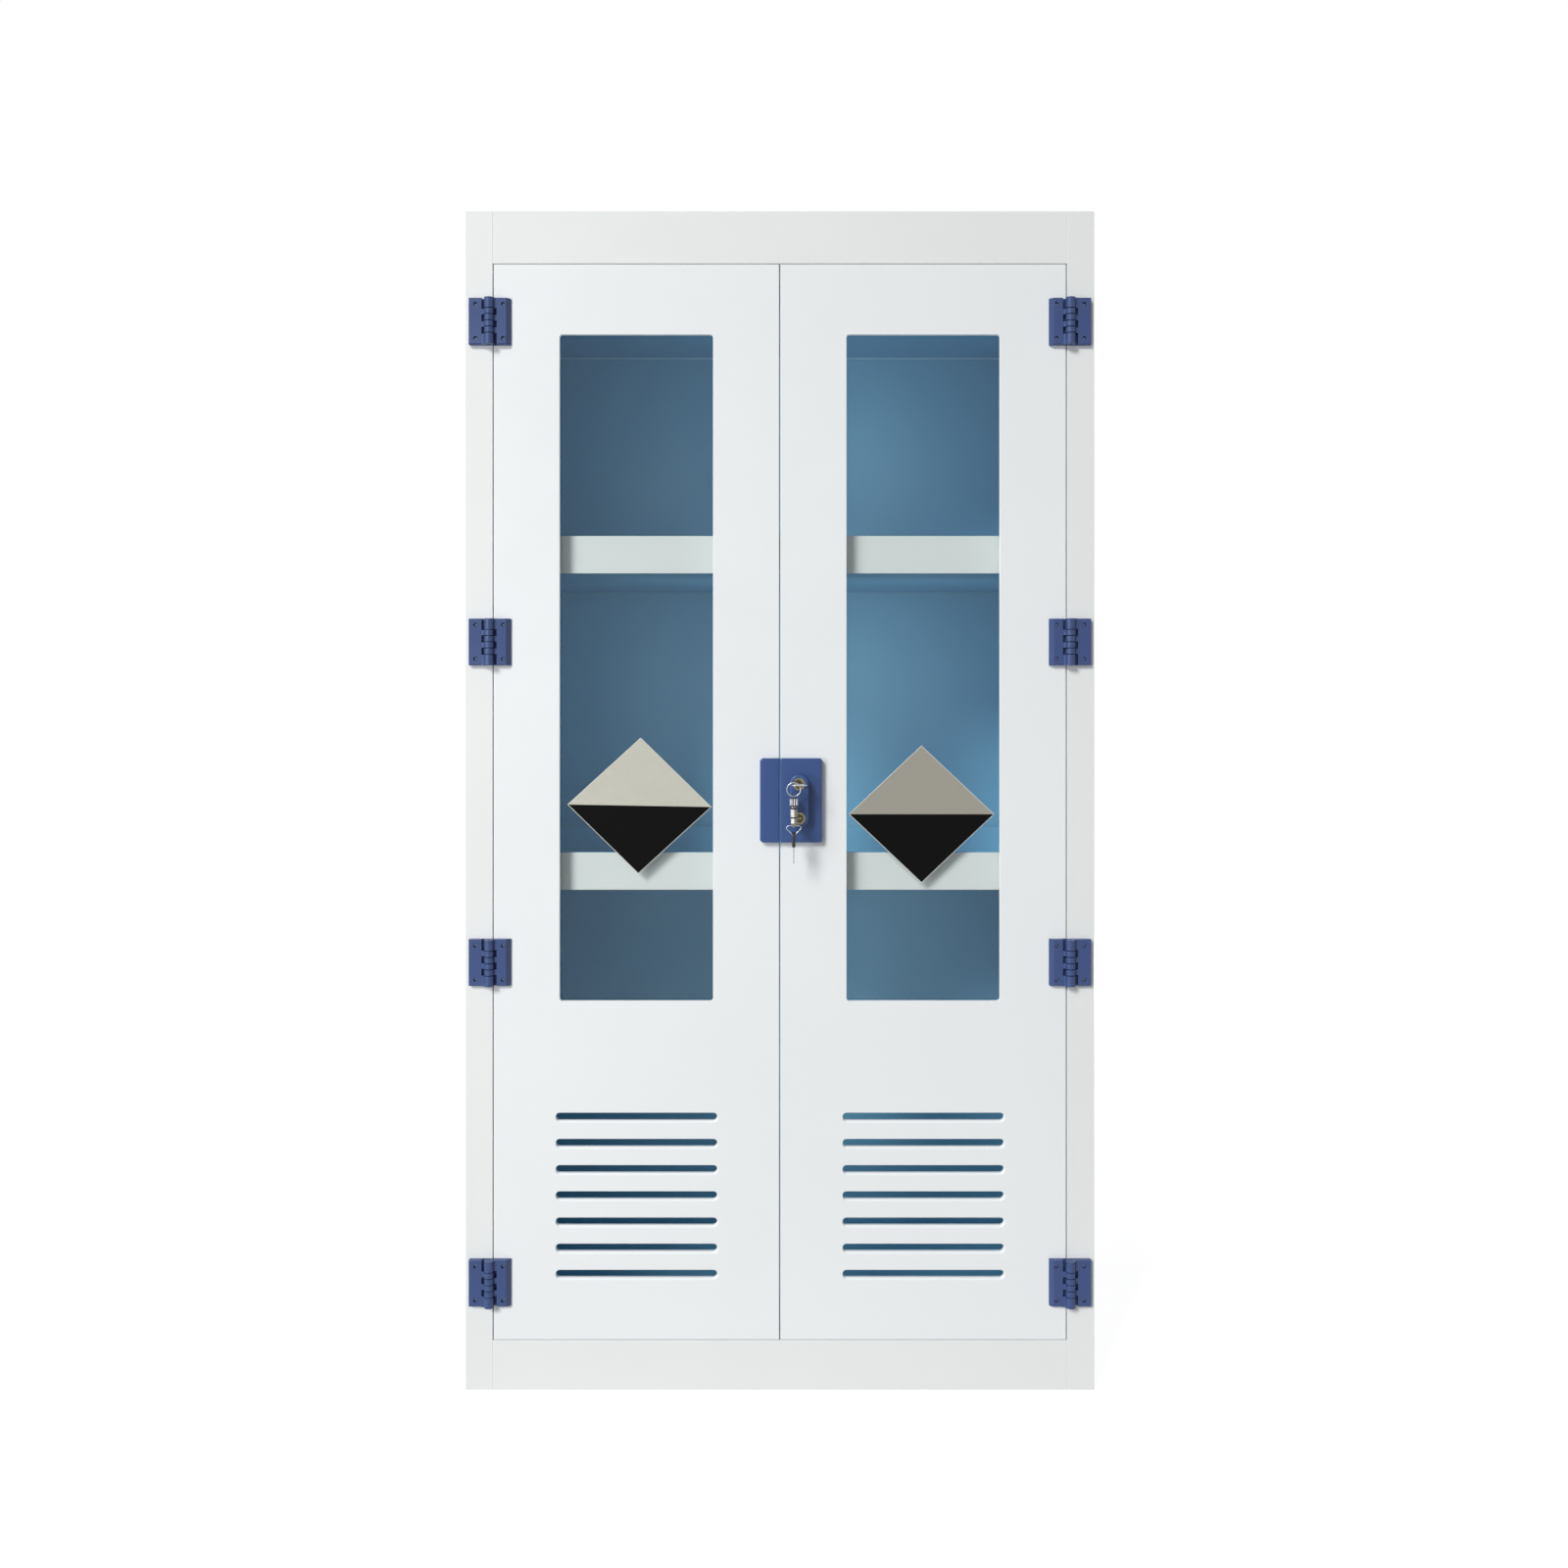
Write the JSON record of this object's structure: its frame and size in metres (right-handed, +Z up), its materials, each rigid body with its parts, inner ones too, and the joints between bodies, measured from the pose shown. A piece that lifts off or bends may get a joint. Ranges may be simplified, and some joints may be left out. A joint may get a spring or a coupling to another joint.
{
  "type": "reagent cabinet",
  "caption": "Free-standing white plastic reagent cabinet with hinged glazed doors, louvred below, lipped shelf trays inside and a keyed lock where the doors meet.",
  "frame": {"origin": "on the floor, under the middle of the whole object's box, with the key that stands out in front included", "axes": "+Z up, the doors face -Y, +X to the right of someone who looks at the doors"},
  "size_m": [0.96, 0.5102, 1.8],
  "materials": {
    "body_white": "white polypropylene sheet, soft sheen",
    "door_white": "white polypropylene sheet, soft sheen",
    "tray_white": "white polypropylene sheet, soft sheen",
    "lining_blue": "blue-grey polypropylene sheet",
    "hinge_blue": "moulded blue polypropylene",
    "lock_blue": "moulded blue polypropylene",
    "glass": "clear",
    "sign_plate": "silver-grey over black, satin",
    "lock_metal": "plated, slightly dull",
    "key_steel": "bright plated steel",
    "key_black": "black plastic head over a steel blade"
  },
  "bodies": {
    "carcass": {"left_side_panel": "body_white", "right_side_panel": "body_white", "left_front_post": "body_white", "right_front_post": "body_white", "top_rail": "body_white", "bottom_rail": "body_white", "top_panel": "body_white", "back_panel": "lining_blue", "floor_panel": "lining_blue", "ceiling_panel": "lining_blue", "lower_shelf_tray": "tray_white", "upper_shelf_tray": "tray_white", "lower_bearer_left": "tray_white", "lower_bearer_right": "tray_white", "upper_bearer_left": "tray_white", "upper_bearer_right": "tray_white", "left_hinge_1_frame_leaf": "hinge_blue", "left_hinge_1_pin": "hinge_blue", "left_hinge_2_frame_leaf": "hinge_blue", "left_hinge_2_pin": "hinge_blue", "left_hinge_3_frame_leaf": "hinge_blue", "left_hinge_3_pin": "hinge_blue", "left_hinge_4_frame_leaf": "hinge_blue", "left_hinge_4_pin": "hinge_blue", "right_hinge_1_frame_leaf": "hinge_blue", "right_hinge_1_pin": "hinge_blue", "right_hinge_2_frame_leaf": "hinge_blue", "right_hinge_2_pin": "hinge_blue", "right_hinge_3_frame_leaf": "hinge_blue", "right_hinge_3_pin": "hinge_blue", "right_hinge_4_frame_leaf": "hinge_blue", "right_hinge_4_pin": "hinge_blue"},
    "left_door": {"left_door_panel": "door_white", "left_window_glass": "glass", "left_glass_retainer": "door_white", "left_sign_plate": "sign_plate", "keeper_plate": "lock_blue", "left_hinge_1_door_leaf": "hinge_blue", "left_hinge_2_door_leaf": "hinge_blue", "left_hinge_3_door_leaf": "hinge_blue", "left_hinge_4_door_leaf": "hinge_blue"},
    "right_door": {"right_door_panel": "door_white", "right_window_glass": "glass", "right_glass_retainer": "door_white", "right_sign_plate": "sign_plate", "lock_housing": "lock_blue", "upper_lock_cylinder": "lock_metal", "lower_lock_cylinder": "lock_metal", "right_hinge_1_door_leaf": "hinge_blue", "right_hinge_2_door_leaf": "hinge_blue", "right_hinge_3_door_leaf": "hinge_blue", "right_hinge_4_door_leaf": "hinge_blue"},
    "upper_lock_core": {"upper_lock_plug": "lock_metal", "upper_lock_cam": "lock_metal", "key": "key_steel"},
    "lower_lock_core": {"lower_lock_plug": "lock_metal", "lower_lock_cam": "lock_metal"},
    "hanging_ring": {"key_ring": "key_steel"},
    "key_bunch": {"key_connector": "key_steel", "spare_key": "key_black"}
  },
  "joints": [
    {"name": "left_door_hinge", "type": "hinge", "parent": "carcass", "child": "left_door", "pos_m": [-0.442, -0.20445, 0.898], "axis": [0, 0, -1], "range_deg": [0, 180]},
    {"name": "right_door_hinge", "type": "hinge", "parent": "carcass", "child": "right_door", "pos_m": [0.442, -0.20445, 0.898], "axis": [0, 0, 1], "range_deg": [0, 180]},
    {"name": "upper_lock_turn", "type": "hinge", "parent": "right_door", "child": "upper_lock_core", "pos_m": [0.029, -0.22655, 0.927], "axis": [0, -1, 0], "range_deg": [0, 90]},
    {"name": "lower_lock_turn", "type": "hinge", "parent": "right_door", "child": "lower_lock_core", "pos_m": [0.029, -0.22655, 0.8754], "axis": [0, 1, 0], "range_deg": [0, 90]},
    {"name": "ring_hang", "type": "hinge", "parent": "upper_lock_core", "child": "hanging_ring", "pos_m": [0.0187, -0.24255, 0.927], "axis": [0, -1, 0], "range_deg": [-90, 0]},
    {"name": "bunch_swing", "type": "hinge", "parent": "hanging_ring", "child": "key_bunch", "pos_m": [0.0207, -0.24255, 0.9101], "axis": [0, 1, 0], "range_deg": [-30, 30]}
  ],
  "couplings": [
    {"joint": "ring_hang", "follows": "upper_lock_turn", "ratio": -1}
  ]
}
